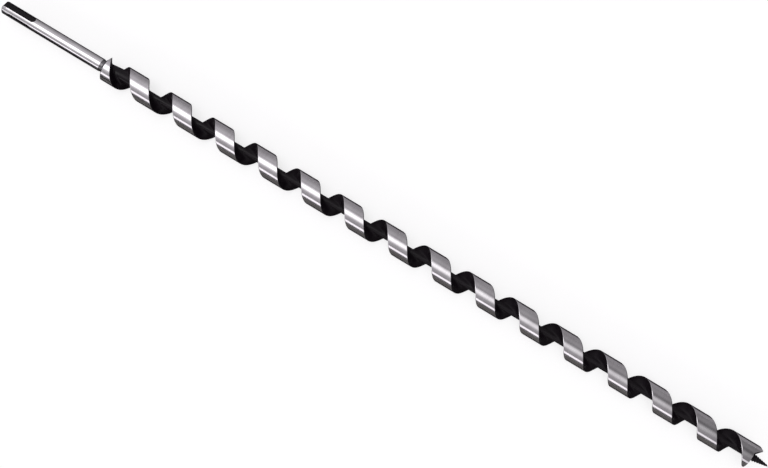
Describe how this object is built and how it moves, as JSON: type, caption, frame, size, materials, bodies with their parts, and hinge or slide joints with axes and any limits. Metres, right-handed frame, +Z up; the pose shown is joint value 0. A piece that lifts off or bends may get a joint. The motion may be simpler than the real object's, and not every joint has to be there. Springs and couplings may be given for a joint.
{
  "type": "auger bit",
  "caption": "Long single-spiral wood auger bit with a slotted round shank, a conical shoulder, a scoring spur and a lead screw at the tip.",
  "frame": {"origin": "centre of the shank's flat end face", "axes": "+X runs along the bit's axis from the shank's end towards the point of the lead screw; +Z is up, with the bit lying on its side; the cutting lip points towards -Y and the scoring spur towards +Y and +Z"},
  "size_m": [0.645, 0.019, 0.019],
  "materials": {
    "steel": "ground bright on the spiral's outer faces and the shank, satin black in the flute, the grooves and on the lead screw"
  },
  "bodies": {
    "root": {"auger_bit": "steel"}
  },
  "joints": []
}
